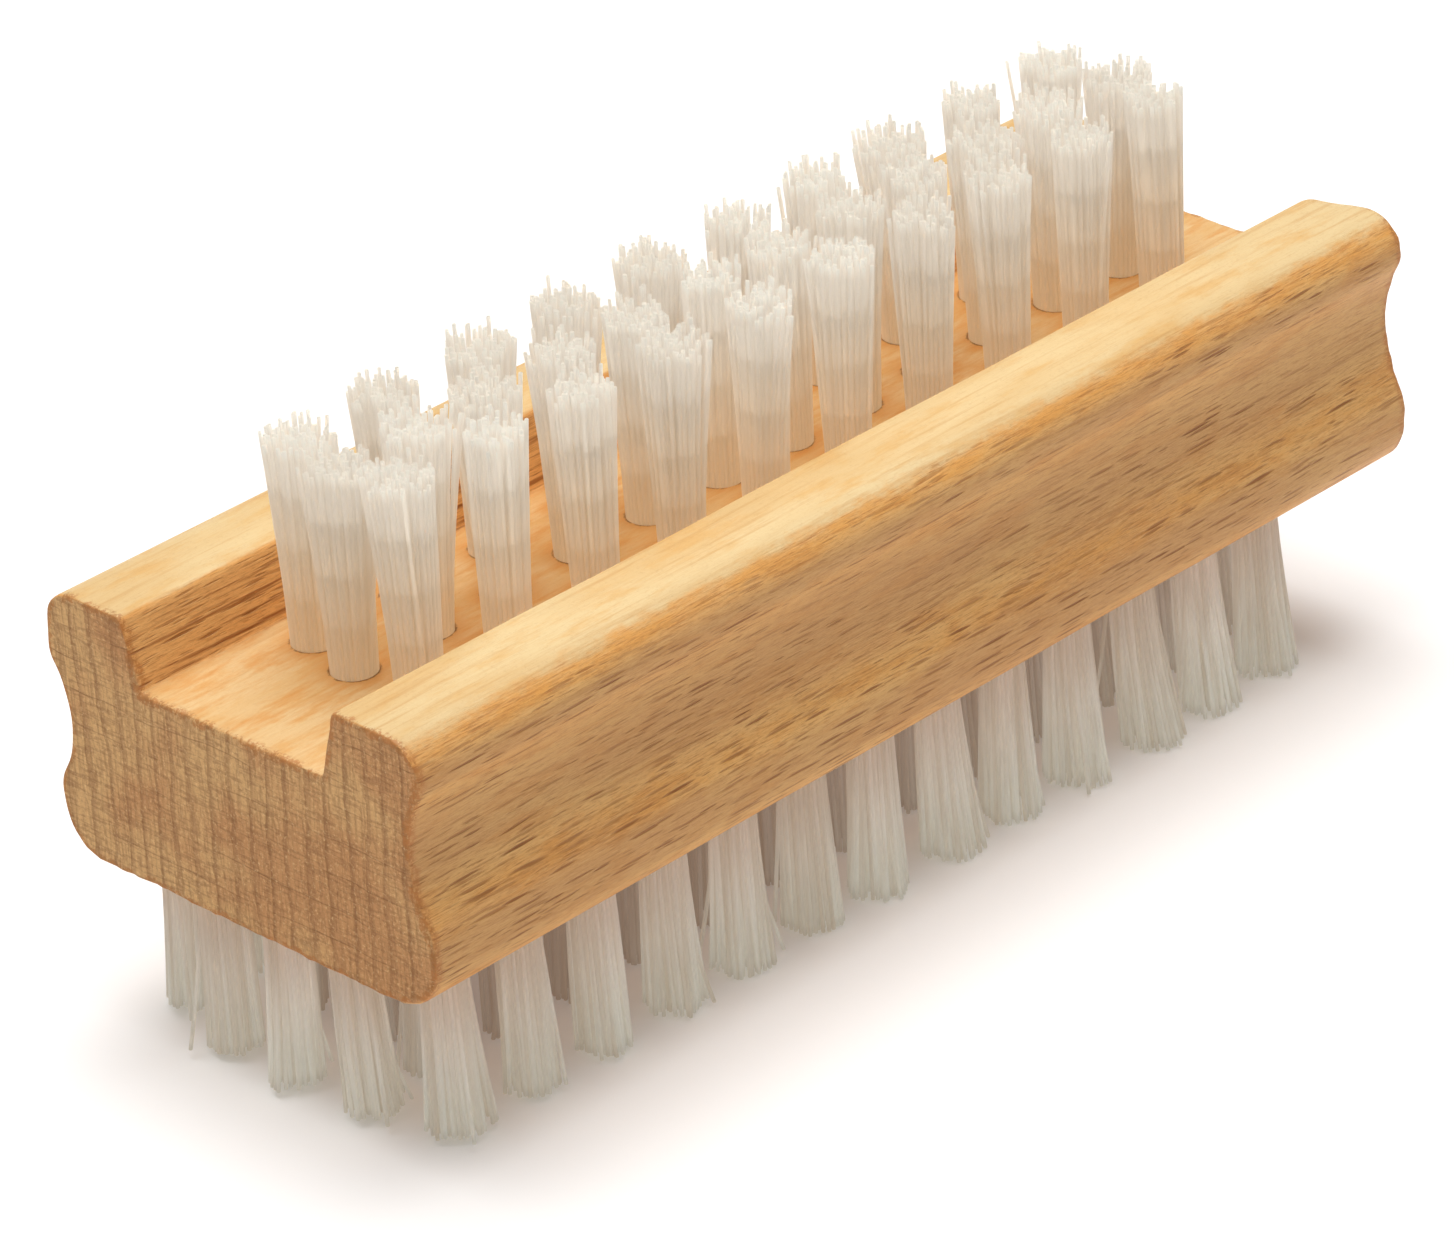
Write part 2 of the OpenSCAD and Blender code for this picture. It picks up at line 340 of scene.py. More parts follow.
def beech():
    """Beech, sawn so that the growth rings stand upright along the block: rays end on the long sides as
    thin brown dashes and cross the end faces as fine level lines. Each kind of face has its own tones,
    chosen by the direction that it faces; the up-facing faces are paler and yellower partly as a painted
    highlight, and the upright parts of the long sides are darkened as painted shade. A painted shadow
    rings each hole in the channel's floor. The arrises are worn to a darker orange. Patterns are in
    millimetres of the block."""
    s = Shader("beech")
    place = s.vector_math("SCALE", s.place())
    place.node.inputs["Scale"].default_value = 1 / MM
    x, y, z = s.split(place)
    normal = s.split(s.node("ShaderNodeNewGeometry").outputs["Normal"])

    # Slow drift of colour in long clouds, finer and finer streaks along the grain, then even unevenness
    drift = s.noise(s.mapped(place, (0.035, 0.16, 0.16)), detail=3, distortion=0.5)
    cloud = s.noise(s.mapped(place, (0.14, 0.5, 0.5), (0, 0, 0.02)), detail=4, roughness=0.65)
    streaks = s.noise(s.mapped(place, (0.06, 1.6, 1.6), (0, 0.02, 0.02)), detail=4, roughness=0.65)
    fibres = s.noise(s.mapped(place, (0.45, 7.5, 7.5), (0, 0.02, 0)), detail=3, roughness=0.75)
    hairs = s.noise(s.mapped(place, (1.0, 15, 15), (0, 0.02, 0)), detail=2, roughness=0.7)
    mottle = s.noise(s.mapped(place, (0.45, 0.9, 0.9)), detail=5, roughness=0.7)
    patch = s.noise(s.mapped(place, (0.18, 0.8, 0.8), (0, 0.02, 0)), detail=4, roughness=0.7)
    grit = s.noise(place, scale=3.5, detail=3, roughness=0.75)

    # Which face a point lies on. The edge between rail top and side wanders
    end_face = s.ramp(s.math("ABSOLUTE", normal[0]), 0.45, 0.85)
    up_facing = s.math("ADD", normal[2], s.math("MULTIPLY", s.math("SUBTRACT", mottle, 0.5), 0.5))
    # Up-facing faces take the paler top tones, partly a painted highlight
    top_face = s.ramp(up_facing, 0.62, 0.92)
    shoulder = s.math("MULTIPLY", s.ramp(up_facing, 0.25, 0.6), s.ramp(up_facing, 0.95, 0.7))
    side_face = s.ramp(s.math("ABSOLUTE", normal[1]), 0.35, 0.8)
    half_opening = CHANNEL_OPENING / 2
    inside = s.ramp(s.math("ABSOLUTE", y), half_opening - 0.2, half_opening + 0.2, 1, 0)
    side_out = s.math("SUBTRACT", 1, inside)

    # Rail tops and the channel's floor, paler than the sides partly as a painted highlight
    top = s.blend(s.ramp(drift, 0.35, 0.65), TOP_PALE, TOP_HONEY)
    top = s.blend(s.ramp(cloud, 0.48, 0.72, 0, 0.6), top, TOP_AMBER)
    top = s.blend(s.ramp(streaks, 0.5, 0.72, 0, 0.5), top, TOP_STREAK)
    top = s.blend(s.ramp(fibres, 0.5, 0.75, 0, 0.3), top, TOP_STREAK)
    stained = s.math("MULTIPLY", inside, s.ramp(patch, 0.42, 0.68, 0.25, 0.88))
    top = s.blend(stained, top, FLOOR_AMBER)

    # Stains round the holes in the channel's floor, and a painted shadow: a dark broken ring at each edge
    def hole_gap(row, row_y):
        count, near_margin, far_margin = row
        pitch = (LENGTH - near_margin - far_margin) / (count - 1)
        first = near_margin - LENGTH / 2
        step = s.math("ROUND", s.math("DIVIDE", s.math("SUBTRACT", x, first), pitch))
        step = s.math("MINIMUM", s.math("MAXIMUM", step, 0), count - 1)
        along = s.math("SUBTRACT", s.math("SUBTRACT", x, first), s.math("MULTIPLY", step, pitch))
        across = s.math("SUBTRACT", s.math("ABSOLUTE", y), row_y)
        square = s.math("ADD", s.math("MULTIPLY", along, along), s.math("MULTIPLY", across, across))
        return s.math("SQRT", square)

    gap = s.math("MINIMUM", hole_gap(UPPER_OUTER, UPPER_ROW_GAP), hole_gap(UPPER_MIDDLE, 0))
    gap = s.math("ADD", gap, s.math("MULTIPLY", s.math("SUBTRACT", grit, 0.5), 0.4))
    stain = s.math("MULTIPLY", s.ramp(gap, HOLE_DIAMETER / 2, HOLE_DIAMETER, 0.6, 0), inside)
    # Painted shadow of the gap where each tuft leaves its hole
    rim = s.ramp(gap, HOLE_DIAMETER / 2 + 0.03, HOLE_DIAMETER / 2 + 0.22, 1, 0)
    rim = s.math("MULTIPLY", s.math("MULTIPLY", rim, inside), s.ramp(mottle, 0.38, 0.55))
    top = s.blend(stain, top, FLOOR_AMBER)
    top = s.blend(s.math("MULTIPLY", rim, 0.8), top, RIM_SHADOW)

    # Long sides, more orange where they are handled most
    side = s.blend(s.ramp(drift, 0.38, 0.62), SIDE_TAN, SIDE_ROSE)
    side = s.blend(s.ramp(cloud, 0.46, 0.66, 0, 0.65), side, SIDE_AMBER)
    side = s.blend(s.ramp(streaks, 0.5, 0.7, 0, 0.4), side, SIDE_STREAK)
    handled = s.math("SUBTRACT", 1, s.ramp(s.math("ABSOLUTE", normal[1]), 0.55, 0.97))
    handled = s.math("MULTIPLY", handled, s.ramp(mottle, 0.35, 0.6, 0.2, 0.8))
    side = s.blend(handled, side, SIDE_AMBER)
    side = s.blend(s.ramp(fibres, 0.52, 0.7, 0, 0.52), side, SIDE_STREAK)
    side = s.blend(s.ramp(fibres, 0.48, 0.32, 0, 0.45), side, SIDE_PALE)
    # Painted shade: the upright parts of each long side, mostly the groove, darken towards the side shade
    # colour
    upright = s.ramp(s.math("ABSOLUTE", s.math("ADD", normal[2], 0.1)), 0.15, 0.55, 0.5, 0)
    side = s.blend(upright, side, SIDE_SHADE)

    # The channel's walls are darker, with strong streaks
    wall = s.blend(s.ramp(fibres, 0.5, 0.7, 0, 0.5), INNER_WALL, INNER_STREAK)
    wall = s.blend(s.ramp(fibres, 0.47, 0.34, 0, 0.45), wall, SIDE_PALE)
    wall = s.blend(s.ramp(streaks, 0.5, 0.66, 0, 0.8), wall, INNER_STREAK)
    side = s.blend(inside, side, wall)
    long_grain = s.blend(top_face, side, top)
    fringe = s.math("MULTIPLY", s.math("MULTIPLY", shoulder, s.ramp(patch, 0.38, 0.6, 0.1, 0.85)), side_out)
    long_grain = s.blend(fringe, long_grain, FRINGE)
    scales = s.math("MULTIPLY", s.math("MULTIPLY", shoulder, s.ramp(fibres, 0.5, 0.68, 0, 0.5)), side_out)
    long_grain = s.blend(scales, long_grain, BURNT)

    # Rays: thin dashes, long along the grain, more of them in some bands than in others
    def dashes(cell_length, cell_height, long_low, long_high, thick, shift, keep):
        """A soft ellipse in some cells of a stretched plane: half its length is drawn between long_low
        and long_high, half its height up to thick, and keep is the share of cells that have one."""
        bent = s.math("ADD", z, s.math("MULTIPLY", s.math("SUBTRACT", drift, 0.5), 1.2))
        flat = s.merge(
            s.math("DIVIDE", s.math("ADD", x, shift), cell_length),
            s.math("DIVIDE", bent, cell_height),
            0,
        )
        cell = s.cells(flat)
        chance = s.split(cell.outputs["Color"])
        away = s.split(s.vector_math("SUBTRACT", flat, cell.outputs["Position"]))
        half_length = s.ramp(chance[0], 0, 1, long_low, long_high, smooth=False)
        half_height = s.ramp(chance[0], 0, 1, thick * 0.7, thick, smooth=False)
        along = s.math("DIVIDE", s.math("MULTIPLY", away[0], cell_length), half_length)
        ragged = s.math("MULTIPLY", s.math("SUBTRACT", fibres, 0.5), 0.12)
        over = s.math("ADD", s.math("MULTIPLY", away[1], cell_height), ragged)
        across = s.math("DIVIDE", over, half_height)
        spread = s.math("ADD", s.math("MULTIPLY", along, along), s.math("MULTIPLY", across, across))
        depth = s.ramp(chance[2], 0, 1, 0.35, 1, smooth=False)
        shown = s.math("MULTIPLY", s.math("LESS_THAN", chance[1], keep), depth)
        return s.math("MULTIPLY", s.ramp(spread, 0.1, 1.0, 1, 0), shown)

    crowd = s.ramp(s.noise(s.mapped(place, (0.04, 0.04, 0.3)), detail=2), 0.36, 0.54, 0.4, 1)
    large = dashes(5.2, 0.62, 1.0, 2.5, 0.14, 0, 0.7)
    small = s.math("MULTIPLY", dashes(3.0, 0.34, 0.6, 1.4, 0.08, 70, 0.45), 0.65)
    rays = s.math("MULTIPLY", s.math("MAXIMUM", large, small), crowd)
    rays = s.math("MULTIPLY", rays, s.math("MULTIPLY", side_face, s.math("SUBTRACT", 1, top_face)))
    long_grain = s.blend(s.math("MULTIPLY", rays, 0.9), long_grain, DASH)
    long_grain = s.blend(s.ramp(grit, 0.5, 0.75, 0, 0.16), long_grain, SIDE_STREAK)
    hair_lines = s.math("MULTIPLY", s.ramp(hairs, 0.5, 0.66, 0, 0.4), side_face)
    long_grain = s.blend(hair_lines, long_grain, SIDE_STREAK)

    # Near the ends the long faces are rougher and darker in a narrow uneven band
    end_gap = s.math("SUBTRACT", LENGTH / 2, s.math("ABSOLUTE", x))
    end_gap = s.math("ADD", end_gap, s.math("MULTIPLY", s.math("SUBTRACT", mottle, 0.5), 2.4))
    burnt = s.math("MULTIPLY", s.ramp(end_gap, 0.35, 0.9, 0.5, 0), side_face)
    burnt = s.math("MULTIPLY", burnt, s.ramp(grit, 0.4, 0.56, 0.4, 1.4))
    long_grain = s.blend(burnt, long_grain, BURNT)

    # End grain: upright growth lines, fine level rays, a few long level cracks and the fuzz of the saw
    bend = s.noise(s.mapped(place, (0.01, 0.12, 0.05)), detail=2)
    wobble = s.noise(s.mapped(place, (0.01, 1.1, 0.7)), detail=3)
    ring_place = s.math("MULTIPLY", s.math("ADD", y, s.math("MULTIPLY", z, 0.04)), 0.5)
    ring_bend = s.math("ADD", s.math("MULTIPLY", bend, 2.0), s.math("MULTIPLY", wobble, 0.3))
    ring_place = s.math("ADD", ring_place, ring_bend)
    ring = s.math("FRACT", ring_place)
    ring_line = s.math("MULTIPLY", s.ramp(ring, 0.6, 0.94), s.ramp(ring, 1.0, 0.96))
    fine_ring = s.math("FRACT", s.math("MULTIPLY", ring_place, 2.7))
    fine_line = s.math("MULTIPLY", s.ramp(fine_ring, 0.55, 0.9), s.ramp(fine_ring, 1.0, 0.92))
    level_bend = s.noise(s.mapped(place, (0.01, 0.07, 0.1)), detail=3)
    level = s.math("FRACT", s.math("ADD", s.math("MULTIPLY", z, 0.36), s.math("MULTIPLY", level_bend, 0.9)))
    level_line = s.ramp(s.math("ABSOLUTE", s.math("SUBTRACT", level, 0.5)), 0.0, 0.035, 1, 0)
    level_shown = s.ramp(s.noise(s.mapped(place, (0.01, 0.1, 0.4)), detail=1), 0.42, 0.6)
    fine_level = s.ramp(s.noise(s.mapped(place, (0.05, 0.5, 4.0)), detail=3), 0.5, 0.62)
    fine_upright = s.ramp(s.noise(s.mapped(place, (0.05, 4.0, 0.5)), detail=3), 0.5, 0.62)
    fuzz = s.noise(s.mapped(place, (2, 3.0, 3.0)), detail=4, roughness=0.75)
    hue = s.noise(s.mapped(place, (0.01, 0.1, 0.1)), detail=2)
    redder = s.math("ADD", hue, s.math("MULTIPLY", y, -0.008))
    end_grain = s.blend(s.ramp(redder, 0.4, 0.62), END_LIGHT, END_RED)
    end_grain = s.blend(s.math("MULTIPLY", ring_line, 0.4), end_grain, END_DARK)
    end_grain = s.blend(s.math("MULTIPLY", fine_line, 0.2), end_grain, END_DARK)
    end_grain = s.blend(s.math("MULTIPLY", fine_level, 0.32), end_grain, END_DARK)
    end_grain = s.blend(s.math("MULTIPLY", fine_upright, 0.28), end_grain, END_DARK)
    cracks = s.math("MULTIPLY", s.math("MULTIPLY", level_line, level_shown), 0.5)
    end_grain = s.blend(cracks, end_grain, END_DARK)
    end_grain = s.blend(s.ramp(fuzz, 0.3, 0.48, 0.45, 0), end_grain, END_DARK)
    end_grain = s.blend(s.ramp(fuzz, 0.52, 0.7, 0, 0.55), end_grain, END_SPECK)
    surface = s.blend(end_face, long_grain, end_grain)

    # Worn arrises, by the mesh's own wear attribute
    wear = s.node("ShaderNodeAttribute", attribute_name="wear").outputs["Fac"]
    uneven = s.math("MULTIPLY", s.ramp(mottle, 0.36, 0.6, 0.2, 1.5), s.ramp(grit, 0.38, 0.56, 0.4, 1.3))
    worn = s.ramp(s.math("MULTIPLY", wear, uneven), 0.35, 1.0)
    chip = s.blend(s.ramp(patch, 0.42, 0.58), BURNT, SIDE_STREAK)
    surface = s.blend(s.math("MULTIPLY", worn, 0.75), surface, chip)

    # Fine relief of grain, rays and saw marks
    grain_height = s.math("ADD", s.math("MULTIPLY", streaks, 0.4), s.math("MULTIPLY", fibres, 0.4))
    grain_height = s.math("SUBTRACT", grain_height, s.math("MULTIPLY", rays, 0.6))
    end_height = s.math("SUBTRACT", fuzz, s.math("MULTIPLY", s.math("ADD", level_line, ring_line), 0.25))
    height = s.node("ShaderNodeMix", data_type="FLOAT")
    s.join(end_face, height.inputs[0])
    s.join(grain_height, height.inputs[2])
    s.join(s.math("MULTIPLY", end_height, 1.1), height.inputs[3])
    normal_out = s.bump(height.outputs[0], GRAIN_RELIEF * MM, 0.8)
    gloss = s.ramp(end_face, 0, 1, 0.5, 0.8)
    return s.finish(Base_Color=surface, Roughness=gloss, Normal=normal_out, Specular_IOR_Level=0.35)


# Colours of the nylon, painted with light and shade along each filament, its painted glow, and how far
# inside the field of tufts its painted shade begins and is full, in millimetres
# The upper tufts' warm foot is painted light from the wood, and their paler upper tones painted light from
# above
UPPER_NYLON = {
    "foot": colour(205, 172, 128),
    "middle": colour(204, 187, 164),
    "upper": colour(206, 199, 188),
    "tip": colour(217, 215, 207),
}
# The lower tufts' darker foot and tips are painted shade, under the block and at the floor
LOWER_NYLON = {
    "foot": colour(199, 183, 170),
    "middle": colour(211, 205, 196),
    "upper": colour(203, 201, 192),
    "tip": colour(184, 182, 173),
}
NYLON_DULL = colour(170, 152, 128)
NYLON_SHADED = colour(150, 118, 94)
NYLON_MILK = colour(255, 251, 244)
NYLON_PAINTED_GLOW = 0.24
SHADE_FROM = 6
SHADE_FULL = 13


def filament(name, tones, milk, shade, clear, uneven):
    """Milky nylon, with light and shade painted along each filament and given off as a painted glow: warm
    light from the wood at its foot, paler upwards where light comes from above, up to the upper tufts'
    frosted cut tips, and painted shade at the feet and the tips of the lower tufts.
    Milk is how much paler the scattered light is than the glow, shade darkens what stands far inside the
    field of tufts, where little light comes, clear is how much light passes straight through, and uneven
    is how much filaments and bundles of them differ."""
    s = Shader(name)
    strand = s.node("ShaderNodeAttribute", attribute_name="strand")
    height, own, tuft = s.split(strand.outputs["Vector"])
    # Painted light and shade up each filament, from its foot to its tip
    glow = s.blend(s.ramp(height, 0.0, 0.62), tones["foot"], tones["middle"])
    glow = s.blend(s.ramp(height, 0.45, 0.92), glow, tones["upper"])
    glow = s.blend(s.ramp(height, 0.93, 1.0), glow, tones["tip"])
    bundle = s.noise(s.mapped(s.place(), (1100, 1100, 30)), detail=2, roughness=0.6)
    glow = s.blend(s.ramp(own, 0.2, 1, 0, uneven), glow, NYLON_DULL)
    glow = s.blend(s.ramp(bundle, 0.42, 0.68, 0, uneven), glow, NYLON_DULL)
    glow = s.blend(s.ramp(tuft, 0, 1, 0, 0.12), glow, NYLON_DULL)
    x, y, _ = s.split(s.place())
    from_end = s.math("SUBTRACT", LENGTH / 2 * MM, s.math("ABSOLUTE", x))
    from_side = s.math("SUBTRACT", WIDTH / 2 * MM, s.math("ABSOLUTE", y))
    inward = s.ramp(s.math("MINIMUM", from_end, from_side), SHADE_FROM * MM, SHADE_FULL * MM, 0, shade)
    glow = s.blend(inward, glow, NYLON_SHADED)
    body = s.blend(s.math("MULTIPLY", s.math("SUBTRACT", 1, inward), milk), glow, NYLON_MILK)
    # The tones also glow, as painted light for the light that the nylon carries
    return s.finish(
        Base_Color=body, Roughness=0.65, IOR=1.2, Transmission_Weight=clear,
        Emission_Color=glow, Emission_Strength=NYLON_PAINTED_GLOW,
    )


def wire():
    """Drawn steel wire, with fine scratches along it."""
    s = Shader("drawn_wire")
    scratches = s.noise(s.mapped(s.place(), (200, 4000, 4000)), detail=2)
    tone = s.blend(s.ramp(scratches, 0.3, 0.7), colour(150, 150, 152), colour(196, 196, 196))
    return s.finish(Base_Color=tone, Metallic=1.0, Roughness=0.35)


# The block

def arc(centre, radius, start, end, count):
    """Points of a circle from a start angle to an end angle, in degrees."""
    angle = np.radians(np.linspace(start, end, count))
    return np.asarray(centre) + radius * np.column_stack([np.cos(angle), np.sin(angle)])


def straight(start, end, count):
    """Points evenly spaced on a straight line."""
    return np.linspace(start, end, count)


def bearing(step):
    """Direction of a step in the section, in degrees."""
    return math.degrees(math.atan2(step[1], step[0]))


def half_section(inset, bead_radius, face, groove_radius, lower_radius):
    """The right half of the section as [y, z] points, from the channel floor's middle over the rail and
    down the side to the underside's middle: lines, two beads and the groove circle that touches both.
    Each bead is two arcs of one radius with a short upright face between them."""
    crest = np.array([WIDTH / 2 - inset - bead_radius, HEIGHT - bead_radius])
    upper = crest - [0, face]
    heel = np.array([WIDTH / 2 - lower_radius, lower_radius])
    lower = heel + [0, LOWER_BEAD_FACE]
    apart = np.linalg.norm(upper - lower)
    along = (upper - lower) / apart
    upper_reach = groove_radius + bead_radius
    lower_reach = groove_radius + lower_radius
    up_share = (lower_reach**2 - upper_reach**2 + apart**2) / (2 * apart)
    out_share = math.sqrt(lower_reach**2 - up_share**2)
    groove = lower + up_share * along + out_share * np.array([along[1], -along[0]])

    floor_z = HEIGHT - CHANNEL_DEPTH
    foot = np.array([CHANNEL_FLOOR_WIDTH / 2, floor_z])
    brow = np.array([CHANNEL_OPENING / 2, HEIGHT])
    wall = (brow - foot) / np.linalg.norm(brow - foot)
    slope = bearing(wall)
    foot_back = FLOOR_CORNER_RADIUS * math.tan(math.radians(slope / 2))
    foot_centre = np.array([foot[0] - foot_back, floor_z + FLOOR_CORNER_RADIUS])
    brow_back = RAIL_EDGE_RADIUS * math.tan(math.radians(slope / 2))
    brow_centre = np.array([brow[0] + brow_back, HEIGHT - RAIL_EDGE_RADIUS])

    upper_end = bearing(groove - upper)
    lower_start = bearing(groove - lower)
    parts = [
        straight((0, floor_z), (foot_centre[0], floor_z), 18),
        arc(foot_centre, FLOOR_CORNER_RADIUS, -90, slope - 90, 5),
        straight(foot + wall * foot_back, brow - wall * brow_back, 12),
        arc(brow_centre, RAIL_EDGE_RADIUS, slope + 90, 90, 6),
        straight((brow_centre[0], HEIGHT), (crest[0], HEIGHT), 9),
        arc(crest, bead_radius, 90, 0, 12),
        arc(upper, bead_radius, 0, upper_end, 6),
        arc(groove, groove_radius, bearing(upper - groove) % 360, bearing(lower - groove) % 360, 20),
        arc(lower, lower_radius, lower_start, 0, 7),
        arc(heel, lower_radius, 0, -90, 13),
        straight((heel[0], 0), (0, 0), 26),
    ]
    points = np.vstack(parts)
    keep = np.r_[True, np.linalg.norm(np.diff(points, axis=0), axis=1) > 1e-4]
    return points[keep]


def block_section():
    """The closed section, counter-clockwise seen from +X, and the outward direction at each point."""
    far = half_section(FAR_BEAD_INSET, FAR_BEAD_RADIUS, FAR_BEAD_FACE, FAR_GROOVE_RADIUS, FAR_LOWER_RADIUS)
    near = half_section(
        NEAR_BEAD_INSET, NEAR_BEAD_RADIUS, NEAR_BEAD_FACE, NEAR_GROOVE_RADIUS, NEAR_LOWER_RADIUS
    )
    points = np.vstack([far[::-1], (near * [-1, 1])[1:-1]])
    ahead = np.roll(points, -1, axis=0) - points
    behind = points - np.roll(points, 1, axis=0)
    ahead /= np.linalg.norm(ahead, axis=1, keepdims=True)
    behind /= np.linalg.norm(behind, axis=1, keepdims=True)
    along = ahead + behind
    along /= np.linalg.norm(along, axis=1, keepdims=True)
    return points, np.column_stack([along[:, 1], -along[:, 0]])


# Rounding of the end faces' arrises, its wear, and the far end's lower rail edges, in millimetres
EASE = 0.32
EASE_STEPS = 5
WEAR_BAND = 0.5
WEAR_REACH = 0.55
RIPPLE = 0.05
FAR_ROUNDING = 2.4
FAR_DROP_SHARE = 0.7
FAR_DROP_WIDTH = 4.5


def block_mesh():
    """The moulding: its section carried along X and drawn in at both ends round a quarter circle, whose
    radius varies along the arris as if chipped, with slow hollows of less than a tenth of a millimetre
    left by sanding. At the far end the inner edges of the rails drop away along a flattened quarter
    circle. A last ring, drawn in further, edges each end face. Wear is 1 at the ends and falls off
    exponentially along the block, and is 0 on the last rings."""
    section, outward = block_section()
    count = len(section)
    place = np.column_stack([section, np.zeros(count)])
    brow = np.array([CHANNEL_OPENING / 2, HEIGHT])
    corner = np.minimum(
        np.linalg.norm(section - brow, axis=1),
        np.linalg.norm(section - brow * [-1, 1], axis=1),
    )
    limit = RAIL_EDGE_RADIUS * 0.8 + 0.6 * np.clip(corner - 1.0, 0, None)

    def chipped(seed):
        uneven = 0.35 * waves(place, (4, 6, 9), seed) + 0.3 * waves(place, (0.9, 1.3, 1.9, 2.7), seed + 1)
        return np.minimum(EASE * np.clip(1 + uneven, 0.25, 2.2), limit * 0.7)

    near_ease = chipped(3)
    far_ease = chipped(5)
    near_band = np.minimum(near_ease + WEAR_BAND, limit)
    far_band = np.minimum(far_ease + WEAR_BAND, limit)

    turn = np.linspace(0, math.pi / 2, EASE_STEPS)[:, None]
    near_x = -LENGTH / 2 + near_ease * (1 - np.sin(turn))
    near_in = near_ease * (1 - np.cos(turn))
    far_x = LENGTH / 2 - far_ease * (1 - np.sin(turn))
    far_in = far_ease * (1 - np.cos(turn))
    band_x = np.full((1, count), LENGTH / 2)
    near_steps = [0.004, 0.009, 0.015]
    far_steps = [0.982, 0.986, 0.99, 0.993, 0.996, 0.998]
    steps = np.linspace(0, 1, 150)[3:-3]
    steps = np.concatenate([near_steps, steps, far_steps])[:, None]
    middle_x = (1 - steps) * near_x[0] + steps * far_x[0]
    xs = np.vstack([-band_x, near_x[::-1], middle_x, far_x, band_x])
    draw_in = np.vstack([near_band, near_in[::-1], np.zeros_like(middle_x), far_in, far_band])
    rings = len(xs)

    flat = section[None] - outward[None] * draw_in[:, :, None]
    points = np.dstack([xs, flat])
    ripple = RIPPLE * waves(points * [0.4, 1, 1], (9, 12, 17, 23), 5)
    ripple = np.minimum(ripple, 0)
    points[:, :, 1:] += outward[None] * ripple[:, :, None]
    beyond = np.clip(xs - (LENGTH / 2 - FAR_ROUNDING), 0, None)
    drop = FAR_ROUNDING - np.sqrt(FAR_ROUNDING**2 - np.minimum(beyond, FAR_ROUNDING) ** 2)
    height_share = np.clip((points[:, :, 2] - HEIGHT + CHANNEL_DEPTH) / CHANNEL_DEPTH, 0, 1)
    past_brow = np.clip((np.abs(points[:, :, 1]) - CHANNEL_OPENING / 2) / FAR_DROP_WIDTH, 0, 1)
    points[:, :, 2] -= drop * FAR_DROP_SHARE * height_share**2 * (1 - past_brow)
    points[:, :, 2] += UNDERSIDE_Z

    wear = np.exp(-(LENGTH / 2 - np.abs(xs)) / WEAR_REACH)
    wear[[0, -1]] = 0

    index = np.arange(rings * count).reshape(rings, count)
    nxt = np.roll(index, -1, axis=1)
    quads = np.stack([index[:-1], nxt[:-1], nxt[1:], index[1:]], axis=-1).reshape(-1, 4)
    quads = quads[:, ::-1]
    caps = np.array([index[0], index[-1][::-1]])
    mesh = new_mesh("wood_block", points.reshape(-1, 3), [quads, caps])
    attribute = mesh.attributes.new("wear", "FLOAT", "POINT")
    attribute.data.foreach_set("value", wear.astype(np.float32).ravel())
    return mesh


def drill_mesh():
    """A round bar down each tuft hole, from a millimetre outside the wood to the hole's bottom."""
    sides = 40
    angle = np.arange(sides) * 2 * math.pi / sides
    rim = HOLE_DIAMETER / 2 * np.column_stack([np.cos(angle), np.sin(angle)])
    upper = np.vstack(list(UPPER_ROWS.values()))
    lower = np.vstack(list(LOWER_ROWS.values()))
    places = np.vstack([upper, lower])
    ends = np.vstack([
        np.tile([FLOOR_Z - HOLE_DEPTH, FLOOR_Z + 1], (len(upper), 1)),
        np.tile([UNDERSIDE_Z - 1, UNDERSIDE_Z + HOLE_DEPTH], (len(lower), 1)),
    ])
    points = np.zeros((len(places), 2, sides, 3))
    points[..., :2] = places[:, None, None] + rim
    points[..., 2] = ends[:, :, None]
    index = np.arange(points.size // 3).reshape(len(places), 2, sides)
    nxt = np.roll(index, -1, axis=2)
    walls = np.stack([index[:, 0], nxt[:, 0], nxt[:, 1], index[:, 1]], axis=-1).reshape(-1, 4)
    caps = np.vstack([index[:, 0, ::-1], index[:, 1]])
    return new_mesh("drills", points.reshape(-1, 3), [walls, caps])


def make_block():
    """The moulding with its tuft holes cut, in place of the CAD block."""
    drill = bpy.data.objects.new("drills", drill_mesh())
    bpy.context.scene.collection.objects.link(drill)
    block = bpy.data.objects.new("blank", block_mesh())
    bpy.context.scene.collection.objects.link(block)
    cut = block.modifiers.new("holes", "BOOLEAN")
    cut.operation = "DIFFERENCE"
    cut.solver = "EXACT"
    cut.object = drill
    graph = bpy.context.evaluated_depsgraph_get()
    mesh = bpy.data.meshes.new_from_object(block.evaluated_get(graph))
    for spare in (block, drill):
        data = spare.data
        bpy.data.objects.remove(spare)
        bpy.data.meshes.remove(data)
    mesh.name = "wood_block"
    mesh.set_sharp_from_angle(angle=math.radians(50))
    piece = new_piece("wood_block", mesh, beech())
    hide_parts("block")


make_block()


# The bristles: sizes and scatters in millimetres, the scatters as standard deviations

FILAMENT_RADIUS = 0.158
FILAMENT_SIDES = 6
FILAMENT_RINGS = 5
ROOT_DEPTH = 3.6
FOOT_SCATTER = 0.012
FAN_POWER = 1.3
FAN_UNEVEN = 0.25
STRAY = 0.09
STRAY_LIMIT = 1.8
LOOSE_SHARE = 0.045
GROUP_DRIFT = 0.17
DRIFT_POWER = 1.5
BOW = 0.05
RING_PITCH = (HOLE_DIAMETER / 2 - FILAMENT_RADIUS - 0.02) / FILAMENT_RINGS


